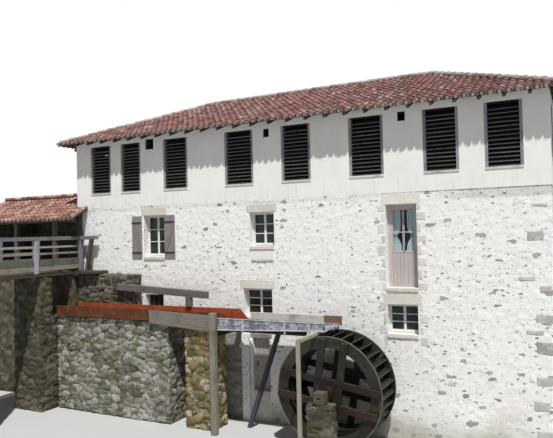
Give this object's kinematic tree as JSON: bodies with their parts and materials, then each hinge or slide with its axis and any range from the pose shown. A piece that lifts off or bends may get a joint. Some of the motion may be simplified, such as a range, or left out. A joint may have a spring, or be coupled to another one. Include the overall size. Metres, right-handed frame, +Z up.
{
  "type": "stone watermill with overshot wheel",
  "caption": "Lime-washed stone watermill with a louvred loft, hipped clay tile roof, overshot timber wheel, raised flume and sluice shed.",
  "frame": {"origin": "under the middle of the front wall, at mid thickness, on the level that the walls rest on", "axes": "+X along the front wall to the right as seen from the wheel side, +Y into the building, +Z up"},
  "size_m": [22.34, 12.54, 11.3766],
  "materials": {
    "limewashed_rubble": "lime-washed rubble masonry with grey stones showing",
    "render": "smooth off-white lime render",
    "masonry": "bare weathered rubble masonry",
    "dressed_stone": "dressed pale granite",
    "floor_stone": "worn stone flags",
    "floor_wood": "old floor boards",
    "clay_tile": "weathered clay canal tiles",
    "louvre_wood": "dark weathered slats with grey jambs",
    "grey_wood": "silver grey weathered timber",
    "wet_wood": "dark wet timber with moss",
    "white_paint": "white painted joinery",
    "taupe_paint": "taupe painted joinery",
    "mauve_paint": "grey mauve painted boards",
    "glass": "clear window glass",
    "iron": "dark wrought iron, rusted",
    "rusty_steel": "red-brown rusted steel plate",
    "zinc": "dull grey zinc sheet"
  },
  "bodies": {
    "mill": {"front_wall_lower_left": "limewashed_rubble", "front_wall_lower_right": "limewashed_rubble", "door_threshold": "dressed_stone", "front_wall": "limewashed_rubble", "back_wall": "limewashed_rubble", "left_wall": "limewashed_rubble", "right_wall": "limewashed_rubble", "loft_front_wall": "render", "loft_back_wall": "render", "loft_end_walls": "render", "ground_floor": "floor_stone", "first_floor": "floor_wood", "loft_floor": "floor_wood", "roof_front": "clay_tile", "roof_back": "clay_tile", "roof_ends": "clay_tile", "ridge_tiles": "clay_tile", "rafter_tails": "grey_wood", "front_louvres": "louvre_wood", "back_louvres": "louvre_wood", "end_louvres": "louvre_wood", "window_frames": "white_paint", "window_glass": "glass", "lintels": "dressed_stone", "sills": "dressed_stone", "upper_door": "taupe_paint", "shutters": "mauve_paint", "door_pintles": "iron", "door_lintel": "grey_wood", "wheel_pier": "masonry", "wheel_bearings": "iron", "steel_trough": "rusty_steel", "zinc_trough": "zinc", "trough_boards": "grey_wood", "trough_straps": "iron", "flume_bearers": "grey_wood", "flume_posts": "grey_wood", "flume_abutment": "masonry", "race_walls": "masonry", "sluice_deck": "grey_wood", "sluice_railing": "grey_wood", "sluice_beam": "grey_wood", "iron_rods": "iron", "shed_walls": "masonry", "shed_floor": "masonry", "shed_posts": "grey_wood", "shed_roof": "clay_tile", "shed_ridge_tiles": "clay_tile"},
    "wheel": {"near_shroud": "wet_wood", "far_shroud": "wet_wood", "wheel_buckets": "wet_wood", "near_arms": "wet_wood", "far_arms": "wet_wood", "wheel_shaft": "wet_wood", "shaft_irons": "iron"},
    "door": {"ground_door": "grey_wood", "door_hinges": "iron"}
  },
  "joints": [
    {"name": "wheel_spin", "type": "hinge", "parent": "mill", "child": "wheel", "pos_m": [2.565, 0, 1.6], "axis": [0, 1, 0], "continuous": true},
    {"name": "door_swing", "type": "hinge", "parent": "mill", "child": "door", "pos_m": [-0.09, -0.086, 0.95], "axis": [0, 0, -1], "range_deg": [0, 90]}
  ]
}
